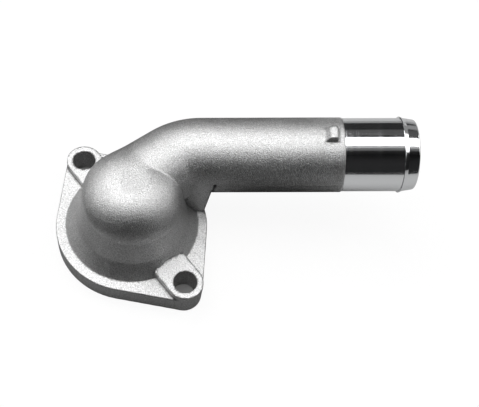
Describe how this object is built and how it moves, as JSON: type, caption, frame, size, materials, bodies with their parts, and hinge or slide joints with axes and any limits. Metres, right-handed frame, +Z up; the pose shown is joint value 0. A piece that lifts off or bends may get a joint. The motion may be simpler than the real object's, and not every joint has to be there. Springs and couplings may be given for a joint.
{
  "type": "coolant outlet housing",
  "caption": "Cast aluminium coolant outlet housing: two-bolt flange, domed valve chamber with wrench reliefs, bent outlet pipe with a lug and a bright turned hose neck with a bead.",
  "frame": {"origin": "centre of the flange face, midway between the two bolt holes, on the sealing plane", "axes": "+Z up out of the flange through the dome, +X along the plan direction of the hose neck, +Y towards the side the pipe is offset to"},
  "size_m": [0.1402, 0.07, 0.0542],
  "materials": {
    "cast_metal": "sand-blasted casting with a turned bright neck"
  },
  "bodies": {
    "root": {"housing": "cast_metal"}
  },
  "joints": []
}
